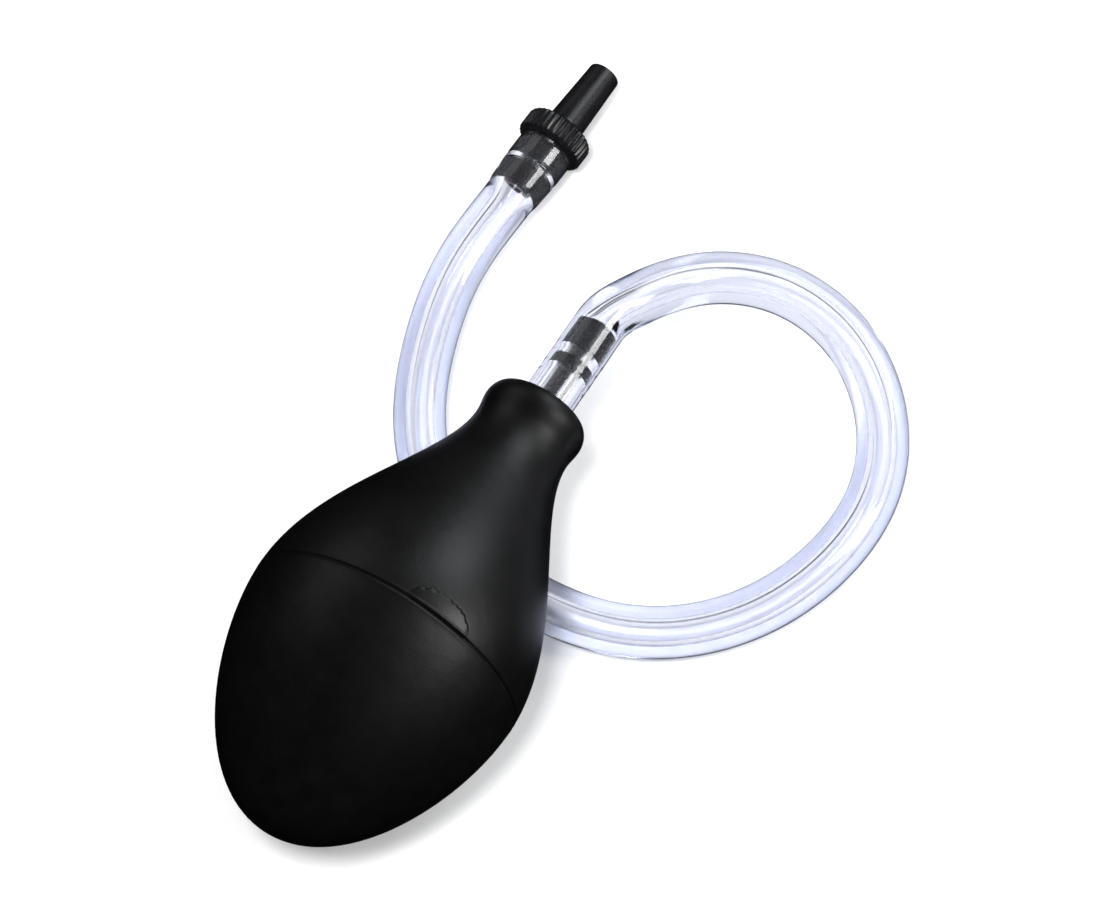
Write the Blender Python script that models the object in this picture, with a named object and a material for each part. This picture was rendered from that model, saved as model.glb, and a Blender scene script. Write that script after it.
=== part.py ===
"""Rubber squeeze-bulb air blower: a pear-shaped bulb, a clear hose and a ribbed push-in nozzle.

The bulb lies on its side on the ground. +X runs along the bulb from its base to its mouth, +Z is up.
Lengths below are millimetres along the bulb from its base pole, turned into metres by point().
"""
import math

import bmesh
import bpy
import numpy as np
from mathutils import Vector

MM = 0.001
GAP = 0.3                      # clearance between touching pieces

# bulb
BULB_R = 22.15                 # largest outer radius, at the moulding seam
BULB_LEN = 79.0                # base pole to mouth plane
SEAM_X = 33.5                  # moulding seam plane
BASE_RISE = 13.45              # Bezier reach at the base pole, across the axis
BASE_RUN = 12.7                # Bezier reach at the seam, towards the pole
SHOULDER_RUN = 15.2            # Bezier reach at the seam, towards the neck
NECK_RUN = 9.8                 # Bezier reach at the neck
NECK_X = 73.0
NECK_R = 7.9
RIM_X = 76.2                   # fattest ring of the mouth bead
RIM_R = 8.25
LIP_ROUND = 1.9                # how far the bead rounds in before the flat mouth face
WALL = 2.2
CHAMBER_END_X = 70.0           # where the air chamber narrows into the neck bore
BULB_SIDES = 64

# connector pushed into the neck; its axis leans a little in the soft rubber
PIVOT_X = 72.0                 # where the connector's axis crosses the bulb's axis
LEAN_SIDE = 0.022              # slope of the connector towards -Y
LEAN_DOWN = 0.004              # slope of the connector towards the ground
MOUTH_S = BULB_LEN - PIVOT_X   # mouth plane, measured along the connector from the pivot
SHANK_IN = 3.0                 # how far the shank reaches behind the pivot
SHANK_R = 2.6
STEM_R = 1.7
HEAD_R = 2.12                  # large end of both barbs
HEAD_LEN = 5.3
HEAD_TAPER = 0.1               # how much the head narrows towards its end
BARB_BIG_BACK = 1.8            # the small barb's large end, back from the head
SMALL_BARB_LEN = 2.1
REACH = 15.8                   # mouth plane to the head's end
CONNECTOR_BORE_R = 1.1
FITTING_SIDES = 40

# hose
HOSE_R = 4.0
BULB_SLEEVE_R = 4.08           # outer radius where it is stretched over the connector
NOZZLE_SLEEVE_R = 4.55         # outer radius where it is stretched over the nozzle's shank
HOSE_STEP = 5.5                # spacing of the tube's points
SQUARE_STEP = 1.0              # straight step at each end of the tube
HOSE_Z = 4.1                   # axis height where the hose lies on the ground

# nozzle: t runs from the collar's hose side towards the tip
COLLAR_FACE = (125.15, 26.1)   # centre of the collar's hose-side face, x and y
COLLAR_R = 5.55
COLLAR_LEN = 4.0
RIB_COUNT = 34
RIB_DEPTH = 0.28
NOZZLE_HEADING = -4.0          # degrees from +X about +Z
BARB_LEN = 9.2
NOZZLE_BARB_R = 2.8
NOZZLE_SHANK_R = 2.9
NOZZLE_GROOVE_R = 2.3
SHANK_END_T = -4.0             # the groove lies between the shank's end and the barb's large end
BARB_BIG_T = -5.2
TIP_ROOT_R = 2.95
TIP_END_R = 2.55
NOZZLE_LEN = 15.8
NOZZLE_BORE_R = 1.3

# the connector's direction and the far point of its barb fix where the frame origin lies
CONNECTOR_DIR = Vector((1.0, -LEAN_SIDE, -LEAN_DOWN)).normalized()
CONNECTOR_END_R = HEAD_R - HEAD_TAPER - 0.25
CONNECTOR_FAR_X = (PIVOT_X + CONNECTOR_DIR.x * (MOUTH_S + REACH)
                   + CONNECTOR_END_R * math.sqrt(1.0 - CONNECTOR_DIR.x ** 2))
ORIGIN_X = CONNECTOR_FAR_X / 2.0

UP = Vector((0.0, 0.0, 1.0))
BULB_DIR = Vector((1.0, 0.0, 0.0))
PIVOT = Vector((PIVOT_X, 0.0, BULB_R))
NOZZLE_DIR = Vector((math.cos(math.radians(NOZZLE_HEADING)),
                     math.sin(math.radians(NOZZLE_HEADING)), 0.0))
COLLAR_POINT = Vector((*COLLAR_FACE, COLLAR_R))
# the hose's leaning end face clears the flat mouth face all round
HOSE_END_S = MOUTH_S + GAP + BULB_SLEEVE_R * math.hypot(LEAN_SIDE, LEAN_DOWN)
HOSE_START = PIVOT + CONNECTOR_DIR * (MOUTH_S + REACH + 2 * GAP)
HOSE_STOP = COLLAR_POINT - NOZZLE_DIR * (BARB_LEN + 2 * GAP)

# hand-chosen points between the hose's two ends: one loop, then under the shoulder of the bulb
HOSE_ROUTE = [
    (101.1, -2.3, 21.4), (107.3, -4.9, 18.7), (113.2, -9.0, 15.9), (119.2, -19.4, 11.8),
    (118.8, -30.6, 7.2), (111.5, -40.2, 4.7), (99.6, -45.7, HOSE_Z), (85.6, -45.2, HOSE_Z),
    (72.1, -39.1, HOSE_Z), (62.3, -27.9, HOSE_Z), (58.5, -13.1, HOSE_Z), (61.3, 2.8, HOSE_Z),
    (71.4, 16.5, HOSE_Z), (88.7, 25.2, 4.2), (102.5, 27.6, 4.8),
]


def point(p):
    """Millimetres from the base pole to metres in the part's frame."""
    return Vector(((p[0] - ORIGIN_X) * MM, p[1] * MM, p[2] * MM))


def material(name, colour, rough, alpha=1.0, transmission=0.0):
    mat = bpy.data.materials.new(name)
    mat.use_nodes = True
    shader = mat.node_tree.nodes["Principled BSDF"]
    shader.inputs["Base Color"].default_value = (*colour, 1.0)
    shader.inputs["Roughness"].default_value = rough
    shader.inputs["Alpha"].default_value = alpha
    shader.inputs["Transmission Weight"].default_value = transmission
    return mat


def bezier(a, b, c, d, count):
    """count + 1 points of a cubic Bezier curve through the plane (x, r)."""
    t = np.linspace(0.0, 1.0, count + 1)[:, None]
    a, b, c, d = (np.array(p, float) for p in (a, b, c, d))
    curve = (1 - t) ** 3 * a + 3 * (1 - t) ** 2 * t * b + 3 * (1 - t) * t ** 2 * c + t ** 3 * d
    return [tuple(p) for p in curve]


def ring(centre, direction, radius, sides, wave=None):
    """Points of a circle about an axis; wave(k) trims the radius of point k."""
    side = direction.cross(UP).normalized()
    top = side.cross(direction)
    out = []
    for k in range(sides):
        angle = 2.0 * math.pi * k / sides
        r = radius - (wave(k) if wave else 0.0)
        out.append(point(centre + side * (r * math.cos(angle)) + top * (r * math.sin(angle))))
    return out


def loft(name, rings, mat, closed, origin=None):
    """A solid through rings of equal count; a single-point ring is a pole, closed joins last to first."""
    mesh = bpy.data.meshes.new(name)
    bm = bmesh.new()
    loops = [[bm.verts.new(p) for p in r] for r in rings]
    pairs = list(zip(loops, loops[1:])) + ([(loops[-1], loops[0])] if closed else [])
    for a, b in pairs:
        sides = max(len(a), len(b))
        for k in range(sides):
            n = (k + 1) % sides
            if len(a) == 1:
                bm.faces.new((a[0], b[n], b[k]))
            elif len(b) == 1:
                bm.faces.new((a[k], a[n], b[0]))
            else:
                bm.faces.new((a[k], a[n], b[n], b[k]))
    bmesh.ops.recalc_face_normals(bm, faces=bm.faces)
    bm.to_mesh(mesh)
    bm.free()
    obj = bpy.data.objects.new(name, mesh)
    bpy.context.scene.collection.objects.link(obj)
    mesh.materials.append(mat)
    if origin is not None:
        for v in mesh.vertices:
            v.co -= origin
        obj.location = origin
    return obj


def turned(profile, start, direction, sides, wave=None, waved=()):
    """Rings of a turned profile [(distance, radius)] about an axis; indices in waved get the wave."""
    rings = []
    for i, (s, r) in enumerate(profile):
        if r == 0.0:
            rings.append([point(start + direction * s)])
        else:
            rings.append(ring(start + direction * s, direction, r, sides, wave if i in waved else None))
    return rings


def bulb_base_half(mat):
    """The closed half of the bulb, a thick cup from the pole to the seam."""
    edge = SEAM_X - GAP / 2.0
    outer = bezier((0, 0), (0, BASE_RISE), (edge - BASE_RUN, BULB_R), (edge, BULB_R), 16)
    inner_r = BULB_R - WALL
    shrink = inner_r / BULB_R
    inner = bezier((edge, inner_r), (edge - BASE_RUN * shrink, inner_r),
                   (WALL, BASE_RISE * shrink), (WALL, 0), 12)
    profile = [(0.0, 0.0)] + outer[1:] + inner[:-1] + [(WALL, 0.0)]
    axis_start = Vector((0.0, 0.0, BULB_R))
    return loft("bulb_base_half", turned(profile, axis_start, BULB_DIR, BULB_SIDES), mat, False,
                point((0.0, 0.0, BULB_R)))


def bulb_neck_half(mat):
    """The half of the bulb with the shoulder, the neck, its beaded mouth and the bore."""
    edge = SEAM_X + GAP / 2.0
    inner_r = BULB_R - WALL
    bore_r = SHANK_R + GAP
    outer = bezier((edge, BULB_R), (edge + SHOULDER_RUN, BULB_R),
                   (NECK_X - NECK_RUN, NECK_R), (NECK_X, NECK_R), 16)
    for k in range(1, 4):
        ease = 0.5 - 0.5 * math.cos(math.pi * k / 3.0)
        outer.append((NECK_X + (RIM_X - NECK_X) * k / 3.0, NECK_R + (RIM_R - NECK_R) * ease))
    for k in range(1, 6):
        a = 0.5 * math.pi * k / 5.0
        outer.append((RIM_X + (BULB_LEN - RIM_X) * math.sin(a), RIM_R - LIP_ROUND * (1 - math.cos(a))))
    axis_start = Vector((0.0, 0.0, BULB_R))
    rings = turned(outer, axis_start, BULB_DIR, BULB_SIDES)
    # the bore follows the connector's leaning axis, its mouth ring lies in the mouth plane
    for x in (BULB_LEN, CHAMBER_END_X):
        on_axis = PIVOT + CONNECTOR_DIR * ((x - PIVOT_X) / CONNECTOR_DIR.x)
        rings.append(ring(on_axis, BULB_DIR, bore_r, BULB_SIDES))
    inner = bezier((CHAMBER_END_X, bore_r), (CHAMBER_END_X - NECK_RUN, bore_r),
                   (edge + SHOULDER_RUN, inner_r), (edge, inner_r), 12)
    rings += turned(inner[1:], axis_start, BULB_DIR, BULB_SIDES)
    return loft("bulb_neck_half", rings, mat, True, point((0.0, 0.0, BULB_R)))


def neck_connector(mat):
    """Black barbed fitting: shank in the bulb's neck, stem, small barb and head barb in the hose."""
    end = MOUTH_S + REACH
    head = end - HEAD_LEN
    small_end = head - BARB_BIG_BACK
    profile = [
        (-SHANK_IN, SHANK_R - 0.3), (-SHANK_IN + 0.4, SHANK_R), (MOUTH_S - 0.2, SHANK_R),
        (MOUTH_S, STEM_R), (small_end - SMALL_BARB_LEN, STEM_R), (small_end - SMALL_BARB_LEN + 0.2, HEAD_R),
        (small_end, HEAD_R - HEAD_TAPER), (small_end + 0.1, STEM_R), (head - 0.1, STEM_R), (head, HEAD_R),
        (end - 0.3, HEAD_R - HEAD_TAPER), (end, CONNECTOR_END_R), (end, CONNECTOR_BORE_R),
        (-SHANK_IN, CONNECTOR_BORE_R),
    ]
    return loft("neck_connector", turned(profile, PIVOT, CONNECTOR_DIR, FITTING_SIDES), mat, True)


def sleeve(name, start, direction, s0, s1, outer_r, bore_r, mat):
    """The end of the hose, a plain tube around a barb."""
    mid = s0 + (s1 - s0) * 0.75
    profile = [(s0, outer_r), (mid, outer_r), (s1, HOSE_R), (s1, bore_r), (s0, bore_r)]
    return loft(name, turned(profile, start, direction, FITTING_SIDES), mat, True)


def nozzle(mat):
    """Barbed shank, finger collar with axial ribs and tapered tip, moulded in one with a bore through."""
    sides = RIB_COUNT * 4
    profile = [
        (-BARB_LEN, NOZZLE_BARB_R - 0.75), (-BARB_LEN + 0.4, NOZZLE_BARB_R - 0.35),
        (BARB_BIG_T, NOZZLE_BARB_R), (BARB_BIG_T + 0.1, NOZZLE_GROOVE_R),
        (SHANK_END_T - 0.1, NOZZLE_GROOVE_R), (SHANK_END_T, NOZZLE_SHANK_R), (0.0, NOZZLE_SHANK_R),
        (0.0, COLLAR_R - 0.75), (0.15, COLLAR_R - 0.35), (0.45, COLLAR_R), (COLLAR_LEN - 0.9, COLLAR_R),
        (COLLAR_LEN - 0.4, COLLAR_R - 0.3), (COLLAR_LEN - 0.1, COLLAR_R - 0.8),
        (COLLAR_LEN, COLLAR_R - 1.4), (COLLAR_LEN + 0.2, TIP_ROOT_R + 0.35),
        (COLLAR_LEN + 0.8, TIP_ROOT_R), (NOZZLE_LEN - 0.35, TIP_END_R), (NOZZLE_LEN - 0.1, TIP_END_R - 0.12),
        (NOZZLE_LEN, TIP_END_R - 0.35), (NOZZLE_LEN, NOZZLE_BORE_R), (-BARB_LEN, NOZZLE_BORE_R),
    ]

    def wave(k):
        return RIB_DEPTH if k % 4 in (1, 2) else 0.0

    ribbed = (9, 10, 11)
    return loft("nozzle", turned(profile, COLLAR_POINT, NOZZLE_DIR, sides, wave, ribbed), mat, True,
                point(COLLAR_POINT))


def smooth_route(points, first_dir, last_dir):
    """Evenly spaced points of a cubic spline through points, with both end directions given."""
    p = np.array([tuple(v) for v in points], float)
    n = len(p)
    h = np.linalg.norm(np.diff(p, axis=0), axis=1)
    a = np.zeros((n, n))
    b = np.zeros((n, 3))
    a[0, 0] = a[-1, -1] = 1.0
    b[0], b[-1] = tuple(first_dir), tuple(last_dir)
    for i in range(1, n - 1):
        a[i, i - 1], a[i, i], a[i, i + 1] = h[i], 2.0 * (h[i - 1] + h[i]), h[i - 1]
        b[i] = 3.0 * (h[i] * (p[i] - p[i - 1]) / h[i - 1] + h[i - 1] * (p[i + 1] - p[i]) / h[i])
    slope = np.linalg.solve(a, b)
    fine = []
    for i in range(n - 1):
        for t in np.linspace(0.0, 1.0, 60, endpoint=False):
            fine.append((1 + 2 * t) * (1 - t) ** 2 * p[i] + t * (1 - t) ** 2 * h[i] * slope[i]
                        + t * t * (3 - 2 * t) * p[i + 1] + t * t * (t - 1) * h[i] * slope[i + 1])
    fine = np.array(fine + [p[-1]])
    along = np.concatenate([[0.0], np.cumsum(np.linalg.norm(np.diff(fine, axis=0), axis=1))])
    even = np.linspace(0.0, along[-1], int(round(along[-1] / HOSE_STEP)) + 1)
    return np.stack([np.interp(even, along, fine[:, k]) for k in range(3)], 1)


def hose(mat):
    """The free stretch of hose, a capped tube on its lying route."""
    route = [Vector(p) for p in smooth_route([HOSE_START, *HOSE_ROUTE, HOSE_STOP], CONNECTOR_DIR,
                                             NOZZLE_DIR)]
    # a short straight step at each end keeps the caps square to the barbs
    route.insert(1, HOSE_START + CONNECTOR_DIR * SQUARE_STEP)
    route.insert(-1, HOSE_STOP - NOZZLE_DIR * SQUARE_STEP)
    data = bpy.data.curves.new("hose", "CURVE")
    data.dimensions = "3D"
    data.bevel_depth = HOSE_R * MM
    data.bevel_resolution = 4
    data.use_fill_caps = True
    spline = data.splines.new("POLY")
    spline.points.add(len(route) - 1)
    for target, p in zip(spline.points, route):
        target.co = (*point(p), 1.0)
    obj = bpy.data.objects.new("hose", data)
    bpy.context.scene.collection.objects.link(obj)
    data.materials.append(mat)
    return obj


def main():
    for old in list(bpy.data.objects):
        bpy.data.objects.remove(old, do_unlink=True)
    neck_rubber = material("neck_rubber", (0.012, 0.012, 0.014), 0.42)
    base_rubber = material("base_rubber", (0.012, 0.012, 0.014), 0.42)
    connector_plastic = material("connector_plastic", (0.015, 0.015, 0.017), 0.3)
    nozzle_plastic = material("nozzle_plastic", (0.02, 0.02, 0.021), 0.38)
    clear_vinyl = material("clear_vinyl", (0.86, 0.88, 0.96), 0.12, 0.5, 0.6)
    bulb_end_vinyl = material("bulb_end_vinyl", (0.86, 0.88, 0.96), 0.12, 0.5, 0.6)
    nozzle_end_vinyl = material("nozzle_end_vinyl", (0.86, 0.88, 0.96), 0.12, 0.5, 0.6)
    bulb_neck_half(neck_rubber)
    bulb_base_half(base_rubber)
    neck_connector(connector_plastic)
    sleeve("hose_end_bulb", PIVOT, CONNECTOR_DIR, HOSE_END_S, MOUTH_S + REACH + GAP, BULB_SLEEVE_R,
           HEAD_R + GAP, bulb_end_vinyl)
    hose(clear_vinyl)
    sleeve("hose_end_nozzle", COLLAR_POINT, -NOZZLE_DIR, GAP, BARB_LEN + GAP, NOZZLE_SLEEVE_R,
           NOZZLE_SHANK_R + GAP, nozzle_end_vinyl)
    nozzle(nozzle_plastic)


main()
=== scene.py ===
"""Looks of the rubber squeeze-bulb air blower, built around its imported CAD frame.

Shapes are worked out in millimetres from the bulb's base pole, with the bulb's axis along +X and the
table at z = 0. at() turns such a place into metres in the frame. An "s" runs along the connector's
axis from its pivot in the neck, a "t" along the nozzle's axis from the back face of its collar.
"""
import math

import bpy
import bmesh
import numpy as np
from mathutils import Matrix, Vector, noise


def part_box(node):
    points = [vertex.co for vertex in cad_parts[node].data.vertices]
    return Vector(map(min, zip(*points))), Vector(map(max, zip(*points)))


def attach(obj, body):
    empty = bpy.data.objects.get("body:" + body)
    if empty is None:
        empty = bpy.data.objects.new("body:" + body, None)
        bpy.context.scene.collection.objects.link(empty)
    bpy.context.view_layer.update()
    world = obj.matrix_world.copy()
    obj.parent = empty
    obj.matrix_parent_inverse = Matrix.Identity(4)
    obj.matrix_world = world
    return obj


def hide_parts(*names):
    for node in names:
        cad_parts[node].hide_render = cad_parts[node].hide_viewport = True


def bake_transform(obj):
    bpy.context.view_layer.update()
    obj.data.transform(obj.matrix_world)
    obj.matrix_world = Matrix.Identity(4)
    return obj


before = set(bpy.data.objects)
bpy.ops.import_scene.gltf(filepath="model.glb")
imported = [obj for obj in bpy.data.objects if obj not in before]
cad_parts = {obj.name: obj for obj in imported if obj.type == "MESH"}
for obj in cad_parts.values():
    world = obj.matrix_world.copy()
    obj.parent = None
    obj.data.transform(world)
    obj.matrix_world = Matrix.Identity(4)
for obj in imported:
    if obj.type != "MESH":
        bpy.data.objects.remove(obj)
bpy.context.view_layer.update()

MM = 0.001
POLE_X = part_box("bulb_base_half")[0].x
BULB_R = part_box("bulb_base_half")[1].z / MM / 2.0
UP = Vector((0.0, 0.0, 1.0))

# camera
VIEW_AZIMUTH = -59.7
VIEW_ELEVATION = 63.5
VIEW_DISTANCE = 1.2
VIEW_LENS = 257.96
VIEW_TARGET = (0.031903, -0.00255, 0.010)

# bulb outline, as in the CAD solids
BULB_LEN = 79.0
SEAM_X = 33.5
BASE_RISE, BASE_RUN = 13.45, 12.7
SHOULDER_RUN, NECK_RUN = 15.2, 9.8
NECK_X, NECK_R = 73.0, 7.9
RIM_X, RIM_R = 76.2, 8.25
LIP_ROUND = 1.9
WALL = 2.2
CHAMBER_END_X = 70.0
SHANK_R = 2.6                  # the connector's shank, and the bore it is pressed into
SHANK_PLAY = 0.04
BASE_FINE = 7.0                # length at the base pole where the rings crowd together
CHAMBER_RINGS = 16
PLAIN_STEP, FLAKE_STEP, SEAM_STEP = 0.55, 0.16, 0.07
PLAIN_TURN, FLAKE_TURN = 1.5, 0.35
FINE_MARGIN = 0.9

# moulding seam and the crescent-shaped flake of skin beside it, angles in degrees from +Y over the top
SEAM_HALF = 0.32
SEAM_DEPTH = 0.2
SEAM_DEEPEST = 135.0
FLAKE_ANGLE = 114.0
FLAKE_BEFORE, FLAKE_AFTER = 14.0, 15.0
FLAKE_HEIGHT = 3.5             # how far it reaches from the seam towards the neck
FLAKE_LIFT = 0.15
FLAKE_NOTCH = 0.05             # depth of the crease at its edge

# neck connector
PIVOT_X = 72.0
SHANK_BACK_S = -3.0
LEAN_SIDE, LEAN_DOWN = 0.022, 0.004
MOUTH_S = BULB_LEN - PIVOT_X
REACH = 15.8
STEM_R = 1.7
HEAD_R = 2.12
HEAD_LEN = 5.3
HEAD_TAPER = 0.1
BARB_BIG_BACK = 1.8
SMALL_BARB_LEN = 2.1
CONNECTOR_BORE_R = 1.1

# nozzle
COLLAR_FACE = (125.15, 26.1)
COLLAR_R = 5.55
COLLAR_LEN = 4.0
NOZZLE_HEADING = -4.0
BARB_LEN = 9.2
NOZZLE_BARB_R = 2.8
NOZZLE_SHANK_R = 2.9
NOZZLE_GROOVE_R = 2.3
SHANK_END_T = -4.0
BARB_BIG_T = -5.2
NOZZLE_LEN = 15.8
TIP_ROOT_R = 2.95
TIP_END_R = 2.55
NOZZLE_BORE_R = 1.3
RIB_COUNT = 34
RIB_DEPTH = 0.30

# hose
GAP = 0.3                      # between the CAD model's hose nodes
PRESS = 0.03                   # how far the stretched hose's bore bites onto a barb
SPRING_BACK = 1.9              # length over which the wall recovers past a barb
CUT_BEVEL = 0.22
HOSE_R = 4.0
LUMEN_R = 1.4
SNUG_R = 2.0                   # bore up to which the soft wall thins instead of swelling outside
HOSE_Z = 4.1
HOSE_SIDES = 88
HOSE_STEP = 0.6
FITTING_STEP = 0.2
HOSE_ROUTE = [
    (101.1, -2.3, 21.4), (107.3, -4.9, 18.7), (113.2, -9.0, 15.9), (119.2, -19.4, 11.8),
    (118.8, -30.6, 7.2), (111.5, -40.2, 4.7), (99.6, -45.7, HOSE_Z), (85.6, -45.2, HOSE_Z),
    (72.1, -39.1, HOSE_Z), (62.3, -27.9, HOSE_Z), (58.5, -13.1, HOSE_Z), (61.3, 2.8, HOSE_Z),
    (71.4, 16.5, HOSE_Z), (88.7, 25.2, 4.2), (102.5, 27.6, 4.8),
]

END_S = MOUTH_S + REACH
HEAD_S = END_S - HEAD_LEN
SMALL_END_S = HEAD_S - BARB_BIG_BACK
SMALL_START_S = SMALL_END_S - SMALL_BARB_LEN
CONNECTOR_DIR = Vector((1.0, -LEAN_SIDE, -LEAN_DOWN)).normalized()
PIVOT = Vector((PIVOT_X, 0.0, BULB_R))
NOZZLE_DIR = Vector((math.cos(math.radians(NOZZLE_HEADING)),
                     math.sin(math.radians(NOZZLE_HEADING)), 0.0))
COLLAR_POINT = Vector((*COLLAR_FACE, COLLAR_R))
HOSE_START = PIVOT + CONNECTOR_DIR * (END_S + 2 * GAP)
HOSE_STOP = COLLAR_POINT - NOZZLE_DIR * (BARB_LEN + 2 * GAP)


def at(p):
    """Millimetres from the base pole to metres in the frame."""
    return Vector((p[0] * MM + POLE_X, p[1] * MM, p[2] * MM))


# ---------------------------------------------------------------- camera
def make_camera():
    a, e = math.radians(VIEW_AZIMUTH), math.radians(VIEW_ELEVATION)
    back = Vector((math.sin(a) * math.cos(e), -math.cos(a) * math.cos(e), math.sin(e)))
    data = bpy.data.cameras.new("camera")
    data.sensor_width = 36.0
    data.lens = VIEW_LENS
    data.clip_start, data.clip_end = 0.05, 20.0
    cam = bpy.data.objects.new("camera", data)
    cam.location = Vector(VIEW_TARGET) + back * VIEW_DISTANCE
    cam.rotation_mode = "QUATERNION"
    cam.rotation_quaternion = (-back).to_track_quat("-Z", "Y")
    bpy.context.scene.collection.objects.link(cam)
    bpy.context.scene.camera = cam


# ---------------------------------------------------------------- mesh helpers
def bezier(a, b, c, d, t):
    """Points of a cubic Bezier curve at the parameters t."""
    t = np.asarray(t, float)[:, None]
    a, b, c, d = (np.array(p, float) for p in (a, b, c, d))
    return (1 - t) ** 3 * a + 3 * (1 - t) ** 2 * t * b + 3 * (1 - t) * t ** 2 * c + t ** 3 * d


def ramp(x, low, high):
    """0 below low, 1 above high, and a smooth step between."""
    t = min(1.0, max(0.0, (x - low) / (high - low)))
    return t * t * (3.0 - 2.0 * t)


def frame_of(direction):
    """Two directions square to the given one, the first of them level."""
    side = direction.cross(UP).normalized()
    return side, side.cross(direction)


def ring(centre, direction, radius, angles):
    """Points of a circle about an axis; radius may be one number or a function of the angle."""
    side, top = frame_of(direction)
    out = []
    for a in angles:
        r = radius(a) if callable(radius) else radius
        out.append(at(centre + side * (r * math.cos(a)) + top * (r * math.sin(a))))
    return out


def loft(name, rings, closed, sharp=35.0):
    """A smooth-shaded mesh through rings of equal count; a one-point ring is a pole."""
    bm = bmesh.new()
    loops = [[bm.verts.new(p) for p in r] for r in rings]
    pairs = list(zip(loops, loops[1:])) + ([(loops[-1], loops[0])] if closed else [])
    for a, b in pairs:
        count = max(len(a), len(b))
        for k in range(count):
            n = (k + 1) % count
            if len(a) == 1:
                bm.faces.new((a[0], b[n], b[k]))
            elif len(b) == 1:
                bm.faces.new((a[k], a[n], b[0]))
            else:
                bm.faces.new((a[k], a[n], b[n], b[k]))
    bmesh.ops.recalc_face_normals(bm, faces=bm.faces)
    mesh = bpy.data.meshes.new(name)
    bm.to_mesh(mesh)
    bm.free()
    mesh.shade_smooth()
    mesh.set_sharp_from_angle(angle=math.radians(sharp))
    obj = bpy.data.objects.new(name, mesh)
    bpy.context.scene.collection.objects.link(obj)
    return obj


def even_angles(count):
    return [2.0 * math.pi * k / count for k in range(count)]


def rounded(profile, radius, steps=3):
    """The closed turned profile again with each corner cut into a small arc."""
    out = []
    n = len(profile)
    for i in range(n):
        a, b, c = (np.array(profile[j % n], float) for j in (i - 1, i, i + 1))
        u, v = a - b, c - b
        lu, lv = np.linalg.norm(u), np.linalg.norm(v)
        reach = min(radius, 0.4 * lu, 0.4 * lv)
        p, q = b + u / lu * reach, b + v / lv * reach
        for k in range(steps + 1):
            t = k / steps
            out.append(tuple((1 - t) ** 2 * p + 2 * (1 - t) * t * b + t * t * q))
    return out


# ---------------------------------------------------------------- material helpers
class Nodes:
    """A material's node tree with short ways to add and link nodes."""

    def __init__(self, name):
        self.mat = bpy.data.materials.new(name)
        self.mat.use_nodes = True
        self.tree = self.mat.node_tree
        self.shader = self.tree.nodes["Principled BSDF"]
        self.out = self.tree.nodes["Material Output"]

    def add(self, kind, **values):
        node = self.tree.nodes.new(kind)
        for key, value in values.items():
            if key in node.inputs:
                node.inputs[key].default_value = value
            else:
                setattr(node, key, value)
        return node

    def link(self, a, out, b, into):
        self.tree.links.new(a.outputs[out], b.inputs[into])

    def noise(self, scale, detail=3.0, roughness=0.55, coords=None):
        """Noise in the piece's own space, where a scale of 1000 makes grains of about a millimetre."""
        node = self.add("ShaderNodeTexNoise", Scale=scale, Detail=detail, Roughness=roughness)
        coords = coords or self.add("ShaderNodeTexCoord")
        self.link(coords, "Object", node, "Vector")
        return node

    def spread(self, source, out, low, high, into_low, into_high):
        """Maps the source's span low..high onto into_low..into_high."""
        node = self.add("ShaderNodeMapRange")
        for i, value in enumerate((low, high, into_low, into_high)):
            node.inputs[i + 1].default_value = value
        self.link(source, out, node, "Value")
        return node

    def bump(self, source, out, strength, distance, before=None):
        node = self.add("ShaderNodeBump", Strength=strength, Distance=distance)
        self.link(source, out, node, "Height")
        if before is not None:
            self.link(before, "Normal", node, "Normal")
        return node

    def colours(self, source, out, stops):
        """Turns the source into colours, given as stops (place, (r, g, b))."""
        node = self.add("ShaderNodeValToRGB")
        elements = node.color_ramp.elements
        while len(elements) < len(stops):
            elements.new(0.5)
        for element, (place, colour) in zip(elements, stops):
            element.position = place
            element.color = (*colour, 1.0)
        self.link(source, out, node, "Fac")
        return node

    def set(self, **values):
        for key, value in values.items():
            self.shader.inputs[key.replace("_", " ")].default_value = value


def rubber():
    """Matt black rubber: uneven and slightly grainy, a little smoother on the flake."""
    m = Nodes("black_rubber")
    coords = m.add("ShaderNodeTexCoord")
    broad = m.noise(70.0, 3.0, coords=coords)
    cloudy = m.noise(320.0, 4.0, coords=coords)
    grain = m.noise(3800.0, 2.0, 0.5, coords=coords)
    tint = m.colours(cloudy, "Fac", [(0.3, (0.0014, 0.0014, 0.0015)),
                                     (0.75, (0.0024, 0.0024, 0.0027))])
    m.link(tint, "Color", m.shader, "Base Color")
    flake = m.add("ShaderNodeAttribute", attribute_name="flake")
    rough = m.spread(broad, "Fac", 0.35, 0.7, 0.40, 0.50)
    shine = m.add("ShaderNodeMath", operation="MULTIPLY_ADD")
    shine.inputs[1].default_value = -0.10
    m.link(flake, "Fac", shine, 0)
    m.link(rough, "Result", shine, 2)
    m.link(shine, "Value", m.shader, "Roughness")
    swell = m.bump(broad, "Fac", 0.30, 0.0008)
    skin = m.bump(cloudy, "Fac", 0.30, 0.00012, swell)
    fine = m.bump(grain, "Fac", 0.45, 0.00003, skin)
    m.link(fine, "Normal", m.shader, "Normal")
    m.set(Specular_IOR_Level=0.36, IOR=1.5)
    return m.mat


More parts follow.
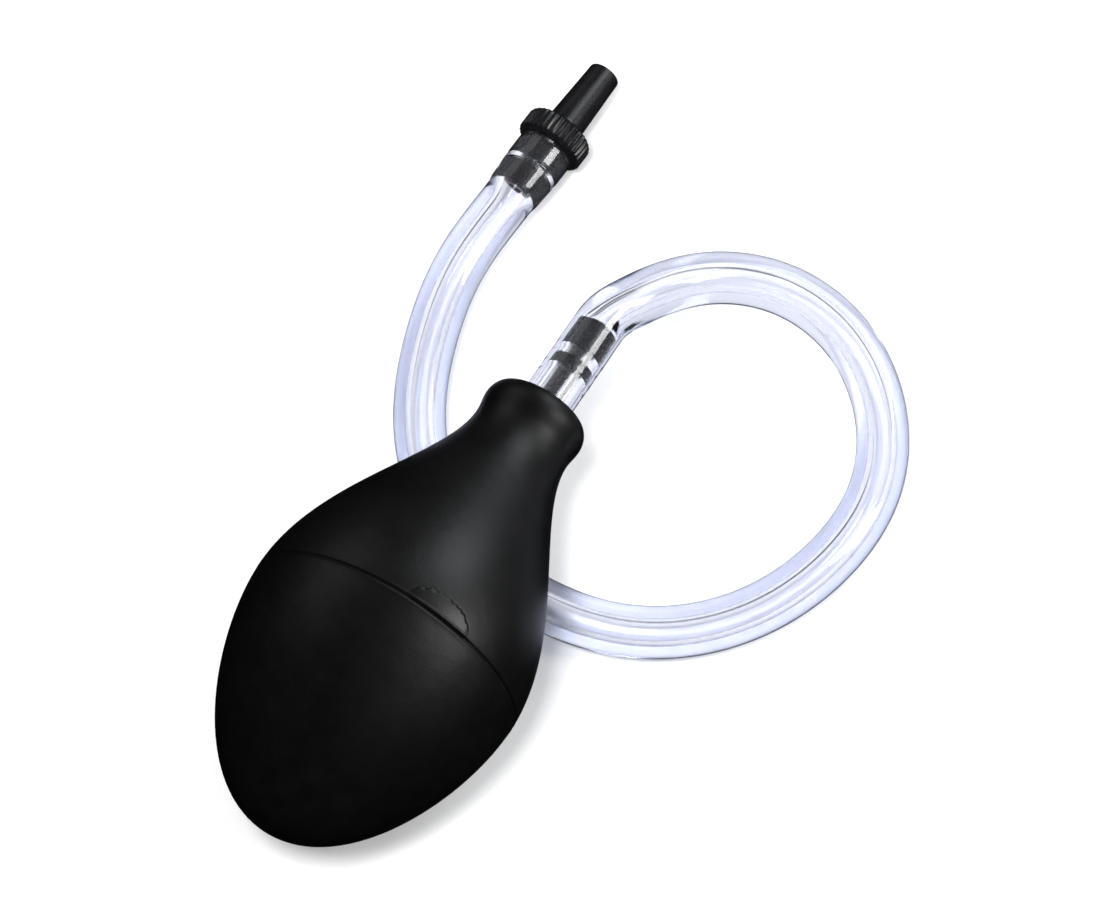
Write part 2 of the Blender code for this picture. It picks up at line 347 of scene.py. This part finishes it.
def moulded(name, low, high, rough_low, rough_high, grain_scale):
    """Black moulded plastic with a faint matt grain."""
    m = Nodes(name)
    coords = m.add("ShaderNodeTexCoord")
    cloudy = m.noise(500.0, 3.0, coords=coords)
    grain = m.noise(grain_scale, 2.0, 0.5, coords=coords)
    tint = m.colours(cloudy, "Fac", [(0.3, low), (0.7, high)])
    m.link(tint, "Color", m.shader, "Base Color")
    rough = m.spread(grain, "Fac", 0.3, 0.7, rough_low, rough_high)
    m.link(rough, "Result", m.shader, "Roughness")
    fine = m.bump(grain, "Fac", 0.25, 0.00002)
    m.link(fine, "Normal", m.shader, "Normal")
    return m.mat


def clear_vinyl():
    """Clear soft tubing, faintly blue in its thickness, with fine draw lines along it."""
    m = Nodes("clear_vinyl")
    m.set(Transmission_Weight=1.0, IOR=1.53, Base_Color=(1.0, 1.0, 1.0, 1.0))
    lines = m.add("ShaderNodeTexNoise", Scale=1.0, Detail=3.0)
    uv = m.add("ShaderNodeUVMap", uv_map="tube")
    stretch = m.add("ShaderNodeMapping")
    stretch.inputs["Scale"].default_value = (55.0, 9.0, 1.0)
    m.link(uv, "UV", stretch, "Vector")
    m.link(stretch, "Vector", lines, "Vector")
    draw = m.bump(lines, "Fac", 0.03, 0.00002)
    m.link(draw, "Normal", m.shader, "Normal")
    haze = m.noise(260.0, 3.0)
    rough = m.spread(haze, "Fac", 0.35, 0.7, 0.06, 0.10)
    m.link(rough, "Result", m.shader, "Roughness")
    depth = m.add("ShaderNodeVolumeAbsorption")
    depth.inputs["Color"].default_value = (0.38, 0.42, 0.59, 1.0)
    depth.inputs["Density"].default_value = 120.0
    m.link(depth, "Volume", m.out, "Volume")
    # lamp light on its way to the floor is dimmed where it would meet the tube at a slant
    rays = m.add("ShaderNodeLightPath")
    slant = m.add("ShaderNodeLayerWeight", Blend=0.5)
    dimming = m.colours(slant, "Facing", [(0.10, (1.0, 1.0, 1.0)), (0.45, (0.40, 0.40, 0.42))])
    passing = m.add("ShaderNodeBsdfTransparent")
    m.link(dimming, "Color", passing, "Color")
    either = m.add("ShaderNodeMixShader")
    m.link(rays, "Is Shadow Ray", either, "Fac")
    m.link(m.shader, "BSDF", either, 1)
    m.link(passing, "BSDF", either, 2)
    m.link(either, "Shader", m.out, "Surface")
    return m.mat


# ---------------------------------------------------------------- hose
def smooth_route(points, first_dir, last_dir, step):
    """Evenly spaced points of a cubic spline through points, with both end directions given."""
    p = np.array([tuple(v) for v in points], float)
    n = len(p)
    h = np.linalg.norm(np.diff(p, axis=0), axis=1)
    a = np.zeros((n, n))
    b = np.zeros((n, 3))
    a[0, 0] = a[-1, -1] = 1.0
    b[0], b[-1] = tuple(first_dir), tuple(last_dir)
    for i in range(1, n - 1):
        a[i, i - 1], a[i, i], a[i, i + 1] = h[i], 2.0 * (h[i - 1] + h[i]), h[i - 1]
        b[i] = 3.0 * (h[i] * (p[i] - p[i - 1]) / h[i - 1] + h[i - 1] * (p[i + 1] - p[i]) / h[i])
    slope = np.linalg.solve(a, b)
    fine = []
    for i in range(n - 1):
        for t in np.linspace(0.0, 1.0, 80, endpoint=False):
            fine.append((1 + 2 * t) * (1 - t) ** 2 * p[i] + t * (1 - t) ** 2 * h[i] * slope[i]
                        + t * t * (3 - 2 * t) * p[i + 1] + t * t * (t - 1) * h[i] * slope[i + 1])
    fine = np.array(fine + [p[-1]])
    along = np.concatenate([[0.0], np.cumsum(np.linalg.norm(np.diff(fine, axis=0), axis=1))])
    even = np.linspace(0.0, along[-1], int(round(along[-1] / step)) + 1)
    return np.stack([np.interp(even, along, fine[:, k]) for k in range(3)], 1)


def connector_profile():
    """(s, radius) round the connector's wall: shank, stem, small barb, head, and back down the bore."""
    small_r = HEAD_R - HEAD_TAPER
    return [
        (SHANK_BACK_S, SHANK_R - 0.3), (SHANK_BACK_S + 0.4, SHANK_R), (MOUTH_S - 0.2, SHANK_R),
        (MOUTH_S, STEM_R), (SMALL_START_S, STEM_R), (SMALL_START_S + 0.2, HEAD_R),
        (SMALL_END_S, small_r), (SMALL_END_S + 0.1, STEM_R), (HEAD_S - 0.1, STEM_R), (HEAD_S, HEAD_R),
        (END_S - 0.3, small_r), (END_S, small_r - 0.25),
        (END_S, CONNECTOR_BORE_R), (SHANK_BACK_S, CONNECTOR_BORE_R),
    ]


def nozzle_barb():
    """(t, radius) of the two bands inside the hose and the groove between them."""
    return [
        (-BARB_LEN, NOZZLE_BARB_R - 0.75), (-BARB_LEN + 0.4, NOZZLE_BARB_R - 0.35),
        (BARB_BIG_T, NOZZLE_BARB_R), (BARB_BIG_T + 0.1, NOZZLE_GROOVE_R),
        (SHANK_END_T - 0.1, NOZZLE_GROOVE_R), (SHANK_END_T, NOZZLE_SHANK_R), (0.0, NOZZLE_SHANK_R),
    ]


def stretched_bore(spans, s):
    """Bore radius at s of the soft hose pulled over barbs given as spans (start, end, r0, r1)."""
    best = LUMEN_R
    for s0, s1, r0, r1 in spans:
        t = min(1.0, max(0.0, (s - s0) / (s1 - s0)))
        off = max(s0 - s, s - s1, 0.0)
        grip = r0 + (r1 - r0) * t - PRESS
        # past a barb's edge the wall springs back towards its free bore
        best = max(best, LUMEN_R + (grip - LUMEN_R) * math.exp(-(off / SPRING_BACK) ** 1.6))
    return best


def hose_centres():
    """Closely spaced points along the hose's middle, from the bulb's mouth to the nozzle's collar."""
    lead = np.arange(MOUTH_S + GAP, END_S + 2 * GAP - 0.15, FITTING_STEP)
    route = smooth_route([HOSE_START, *HOSE_ROUTE, HOSE_STOP], CONNECTOR_DIR, NOZZLE_DIR, HOSE_STEP)
    tail = np.arange(-(BARB_LEN + 2 * GAP) + FITTING_STEP, -0.25, FITTING_STEP)
    return ([PIVOT + CONNECTOR_DIR * s for s in lead] + [Vector(p) for p in route]
            + [COLLAR_POINT + NOZZLE_DIR * t for t in tail])


def bore_radii(centres):
    """The hose's bore at each centre: free along the route, stretched over what it holds at its ends."""
    small_r = HEAD_R - HEAD_TAPER
    on_bulb = [(MOUTH_S, END_S, SNUG_R + PRESS, SNUG_R + PRESS),
               (SMALL_START_S + 0.2, SMALL_END_S, HEAD_R, small_r),
               (HEAD_S, END_S - 0.3, HEAD_R, small_r)]
    on_nozzle = [(-BARB_LEN, 0.0, SNUG_R + PRESS, SNUG_R + PRESS),
                 (-BARB_LEN + 0.4, BARB_BIG_T, NOZZLE_BARB_R - 0.35, NOZZLE_BARB_R),
                 (SHANK_END_T, 0.0, NOZZLE_SHANK_R, NOZZLE_SHANK_R)]
    quarter = len(centres) // 4
    out = []
    for i, c in enumerate(centres):
        bore = LUMEN_R
        if i < quarter:
            bore = stretched_bore(on_bulb, (c - PIVOT).dot(CONNECTOR_DIR))
        elif i >= len(centres) - quarter:
            bore = stretched_bore(on_nozzle, (c - COLLAR_POINT).dot(NOZZLE_DIR))
        out.append(bore)
    return out


def hose_piece(mat):
    centres = hose_centres()
    count = len(centres)
    inner = bore_radii(centres)
    outer = [math.sqrt(HOSE_R ** 2 + max(bore ** 2 - SNUG_R ** 2, 0.0)) for bore in inner]
    tangents = [(centres[min(i + 1, count - 1)] - centres[max(i - 1, 0)]).normalized()
                for i in range(count)]
    angles = even_angles(HOSE_SIDES)
    along = [0.0]
    for a, b in zip(centres, centres[1:]):
        along.append(along[-1] + (b - a).length)
    rings, tags = [], []
    # each cut end is bevelled outside over its last two rings
    trims = {0: CUT_BEVEL, 1: 0.06, count - 2: 0.06, count - 1: CUT_BEVEL}
    for i in range(count):
        rings.append(ring(centres[i], tangents[i], outer[i] - trims.get(i, 0.0), angles))
        tags.append(along[i])
    for i in reversed(range(count)):
        rings.append(ring(centres[i], tangents[i], inner[i], angles))
        tags.append(along[i])
    obj = loft("clear_hose", rings, True, 50.0)
    mesh = obj.data
    layer = mesh.uv_layers.new(name="tube")
    for poly in mesh.polygons:
        around = [v % HOSE_SIDES for v in poly.vertices]
        wrap = max(around) - min(around) > HOSE_SIDES / 2
        for loop, v, k in zip(poly.loop_indices, poly.vertices, around):
            turn = (k + HOSE_SIDES if wrap and k < HOSE_SIDES / 2 else k) / HOSE_SIDES
            layer.data[loop].uv = (tags[v // HOSE_SIDES] * MM, turn)
    mesh.materials.append(mat)
    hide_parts("hose", "hose_end_bulb", "hose_end_nozzle")
    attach(obj, "bulb")
    path = [tuple(at(c)) for c in centres]
    return obj, path, along[-1] * MM


# ---------------------------------------------------------------- bulb
def flake_at(x, angle):
    """Lift in millimetres and a 0..1 mask of the flake at a place on the bulb."""
    off = math.degrees(angle) - FLAKE_ANGLE
    reach = FLAKE_AFTER if off > 0 else FLAKE_BEFORE
    across = 1.0 - (off / reach) ** 2
    if across <= 0.0 or x < SEAM_X:
        return 0.0, 0.0
    ragged = 0.35 * noise.noise(Vector((off * 0.5, 3.1, 0.0)))
    edge = SEAM_X + FLAKE_HEIGHT * math.sqrt(across) + ragged
    inside = edge - x
    mask = ramp(inside, 0.0, 0.22)
    height = 0.45 + 0.55 * ramp(x, SEAM_X, SEAM_X + FLAKE_HEIGHT)
    notch = -FLAKE_NOTCH * math.exp(-((inside + 0.16) / 0.13) ** 2)
    return FLAKE_LIFT * mask * height * ramp(across, 0.0, 0.35) + notch * ramp(across, 0.0, 0.3), \
        mask * ramp(across, 0.0, 0.4)


def seam_at(x, angle):
    """Depth in millimetres of the moulding seam's groove, deeper on one side of the bulb."""
    d = abs(x - SEAM_X) / SEAM_HALF
    if d > 3.0:
        return 0.0
    around = 0.62 + 0.38 * math.cos(angle - math.radians(SEAM_DEEPEST))
    wander = 1.0 + 0.35 * noise.noise(Vector((math.cos(angle) * 3.0, math.sin(angle) * 3.0, 0.5)))
    groove = math.exp(-(d * 1.6) ** 2)
    lip = 0.22 * math.exp(-((d - 1.5) / 0.6) ** 2)
    return SEAM_DEPTH * around * wander * (groove - lip)


def bulb_profile():
    """(x, radius) down the bulb's outside, from beside the base pole to the inner edge of its lip."""
    t = np.linspace(0, 1, 400)
    base = bezier((0, 0), (0, BASE_RISE), (SEAM_X - BASE_RUN, BULB_R), (SEAM_X, BULB_R), t)
    neck = bezier((SEAM_X, BULB_R), (SEAM_X + SHOULDER_RUN, BULB_R),
                  (NECK_X - NECK_RUN, NECK_R), (NECK_X, NECK_R), t)
    outline = np.vstack([base, neck[1:]])
    stations = list(BASE_FINE * np.linspace(0.0, 1.0, 26)[1:] ** 2)
    x = stations[-1]
    while x < NECK_X - 0.3:
        if abs(x - SEAM_X) < FINE_MARGIN:
            x += SEAM_STEP
        elif SEAM_X < x < SEAM_X + FLAKE_HEIGHT + FINE_MARGIN:
            x += FLAKE_STEP
        else:
            x += PLAIN_STEP
        stations.append(min(x, NECK_X))
    profile = [(s, float(np.interp(s, outline[:, 0], outline[:, 1]))) for s in stations]
    # the pole's blunt end follows the curve by its own parameter, where x alone is too coarse
    profile = [tuple(p) for p in base[2:60:3] if p[0] < profile[0][0]] + profile
    for k in range(1, 8):
        ease = 0.5 - 0.5 * math.cos(math.pi * k / 7.0)
        profile.append((NECK_X + (RIM_X - NECK_X) * k / 7.0, NECK_R + (RIM_R - NECK_R) * ease))
    for k in range(1, 13):
        a = 0.5 * math.pi * k / 12.0
        profile.append((RIM_X + (BULB_LEN - RIM_X) * math.sin(a),
                        RIM_R - LIP_ROUND * (1 - math.cos(a))))
    return profile


def bulb_angles():
    """Angles round the bulb from +Y over the top, close together across the flake."""
    low, high = FLAKE_ANGLE - FLAKE_BEFORE - 3.0, FLAKE_ANGLE + FLAKE_AFTER + 3.0
    out, a = [], 0.0
    while a < 359.9:
        out.append(math.radians(a))
        a += FLAKE_TURN if low < a < high else PLAIN_TURN
    return out


def chamber_profile(bore_r):
    """(x, radius) of the air chamber, from the neck's bore to beside its base pole."""
    inner_r = BULB_R - WALL
    t = np.linspace(0, 1, CHAMBER_RINGS)
    return np.vstack([
        bezier((CHAMBER_END_X, bore_r), (CHAMBER_END_X - NECK_RUN, bore_r),
               (SEAM_X + SHOULDER_RUN, inner_r), (SEAM_X, inner_r), t[1:]),
        bezier((SEAM_X, inner_r), (SEAM_X - BASE_RUN, inner_r), (WALL, BASE_RISE - 1.4),
               (WALL, 0), t[1:-1])])


def bulb_piece(mat):
    """One skin over both halves: the outside to the lip, back in through the bore, and the chamber."""
    angles = bulb_angles()
    rings, masks = [[at((0.0, 0.0, BULB_R))]], [[0.0]]
    for x, r in bulb_profile():
        row, mask = [], []
        for a in angles:
            lift, m = flake_at(x, a)
            radius = r + lift - seam_at(x, a)
            row.append(at((x, radius * math.cos(a), BULB_R + radius * math.sin(a))))
            mask.append(m)
        rings.append(row)
        masks.append(mask)
    bore_r = SHANK_R + SHANK_PLAY
    for x in (BULB_LEN - 0.05, CHAMBER_END_X):
        on_axis = PIVOT + CONNECTOR_DIR * ((x - PIVOT_X) / CONNECTOR_DIR.x)
        rings.append([at((on_axis.x, on_axis.y + bore_r * math.cos(a), on_axis.z + bore_r * math.sin(a)))
                      for a in angles])
    for x, r in chamber_profile(bore_r):
        rings.append([at((x, r * math.cos(a), BULB_R + r * math.sin(a))) for a in angles])
    rings.append([at((WALL, 0.0, BULB_R))])
    obj = loft("bulb_skin", rings, False, 60.0)
    flake = np.zeros(len(obj.data.vertices), np.float32)
    outside = np.concatenate(masks)
    flake[:len(outside)] = outside
    attribute = obj.data.attributes.new("flake", "FLOAT", "POINT")
    attribute.data.foreach_set("value", flake)
    obj.data.materials.append(mat)
    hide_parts("bulb_neck_half", "bulb_base_half")
    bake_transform(obj)
    return obj


# ---------------------------------------------------------------- fittings
def connector_piece(mat):
    profile = rounded(connector_profile(), 0.10)
    angles = even_angles(96)
    rings = [ring(PIVOT + CONNECTOR_DIR * s, CONNECTOR_DIR, r, angles) for s, r in profile]
    obj = loft("barbed_connector", rings, True, 40.0)
    obj.data.materials.append(mat)
    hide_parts("neck_connector")
    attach(obj, "bulb")
    return obj


def nozzle_piece(mat):
    """Turned profile with the ribs pressed into the collar's rim by varying its radius round the axis."""
    front = COLLAR_LEN
    profile = nozzle_barb() + [
        (0.0, COLLAR_R - 0.75), (0.12, COLLAR_R - 0.42), (0.38, COLLAR_R - 0.08), (0.55, COLLAR_R),
        (front - 0.95, COLLAR_R), (front - 0.6, COLLAR_R - 0.12), (front - 0.3, COLLAR_R - 0.42),
        (front - 0.08, COLLAR_R - 0.95), (front, COLLAR_R - 1.5), (front + 0.12, TIP_ROOT_R + 0.45),
        (front + 0.4, TIP_ROOT_R + 0.13), (front + 0.9, TIP_ROOT_R),
        (NOZZLE_LEN - 0.45, TIP_END_R + 0.01), (NOZZLE_LEN - 0.2, TIP_END_R - 0.06),
        (NOZZLE_LEN - 0.05, TIP_END_R - 0.2), (NOZZLE_LEN, TIP_END_R - 0.4),
        (NOZZLE_LEN, NOZZLE_BORE_R), (-BARB_LEN, NOZZLE_BORE_R),
    ]
    angles = even_angles(RIB_COUNT * 12)
    rings = []
    for t, r in profile:
        depth = 0.0
        if 0.3 < t < front - 0.05 and r > COLLAR_R - 1.2:
            depth = RIB_DEPTH * ramp(t, 0.2, 0.5) * ramp(front - t, 0.0, 0.5)

        def ribbed(a, r=r, depth=depth):
            return r - depth * (0.5 - 0.5 * math.cos(a * RIB_COUNT)) ** 0.8

        rings.append(ring(COLLAR_POINT + NOZZLE_DIR * t, NOZZLE_DIR, ribbed, angles))
    obj = loft("ribbed_nozzle", rings, True, 38.0)
    obj.data.materials.append(mat)
    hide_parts("nozzle")
    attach(obj, "nozzle")
    return obj


# ---------------------------------------------------------------- stage
def floor_piece():
    """A white table top that stays out of the rubber's reflections."""
    bm = bmesh.new()
    bmesh.ops.create_grid(bm, x_segments=1, y_segments=1, size=4.0)
    mesh = bpy.data.meshes.new("floor")
    bm.to_mesh(mesh)
    bm.free()
    obj = bpy.data.objects.new("floor", mesh)
    bpy.context.scene.collection.objects.link(obj)
    m = Nodes("white_floor")
    paper = m.noise(900.0, 2.0)
    tint = m.colours(paper, "Fac", [(0.3, (0.90, 0.90, 0.90)), (0.7, (0.92, 0.92, 0.92))])
    m.link(tint, "Color", m.shader, "Base Color")
    m.set(Roughness=0.9, Specular_IOR_Level=0.1)
    mesh.materials.append(m.mat)
    obj.visible_glossy = False


def panel(name, direction, distance, size, power, colour=(1.0, 1.0, 1.0), mirrored=True):
    """A soft box facing the part; one that isn't mirrored lights it without showing as a reflection."""
    data = bpy.data.lights.new(name, "AREA")
    data.shape = "RECTANGLE"
    data.size, data.size_y = size
    data.energy = power
    data.color = colour
    obj = bpy.data.objects.new(name, data)
    aim = Vector(direction).normalized()
    obj.location = Vector(VIEW_TARGET) + aim * distance
    obj.rotation_mode = "QUATERNION"
    obj.rotation_quaternion = aim.to_track_quat("Z", "Y")
    obj.visible_glossy = mirrored
    bpy.context.scene.collection.objects.link(obj)


def studio_walls():
    """Even white surroundings, greyer towards the horizon, and kept out of the rubber's reflections."""
    world = bpy.data.worlds.new("studio")
    bpy.context.scene.world = world
    world.cycles_visibility.glossy = False
    world.use_nodes = True
    tree = world.node_tree
    background = tree.nodes["Background"]
    background.inputs["Color"].default_value = (1.0, 1.0, 1.0, 1.0)
    coords = tree.nodes.new("ShaderNodeTexCoord")
    split = tree.nodes.new("ShaderNodeSeparateXYZ")
    height = tree.nodes.new("ShaderNodeMapRange")
    height.interpolation_type = "SMOOTHSTEP"
    for i, value in enumerate((0.0, 0.55, 0.30, 0.60)):
        height.inputs[i + 1].default_value = value
    tree.links.new(coords.outputs["Generated"], split.inputs["Vector"])
    tree.links.new(split.outputs["Z"], height.inputs["Value"])
    tree.links.new(height.outputs["Result"], background.inputs["Strength"])


def lights():
    studio_walls()
    panel("key", (-0.349, -0.047, 0.955), 1.6, (0.30, 0.30), 18.0, mirrored=False)
    panel("shine", (0.83, -0.25, 0.52), 1.3, (0.6, 0.70), 5.4, (0.93, 0.97, 1.0))
    panel("seam_light", (0.35, -0.74, 0.58), 1.3, (0.35, 0.6), 7.5)
    panel("side_fill", (0.30, 0.72, 0.63), 1.4, (1.0, 0.8), 2.0)


def main():
    make_camera()
    hose, path, length = hose_piece(clear_vinyl())
    bulb_piece(rubber())
    connector = connector_piece(moulded("connector_black", (0.008, 0.008, 0.009),
                                        (0.013, 0.013, 0.014), 0.22, 0.34, 3000.0))
    nozzle = nozzle_piece(moulded("nozzle_black", (0.005, 0.005, 0.006),
                                  (0.009, 0.009, 0.010), 0.24, 0.34, 3600.0))
    floor_piece()
    lights()
    bpy.context.scene.view_settings.view_transform = "Standard"


main()
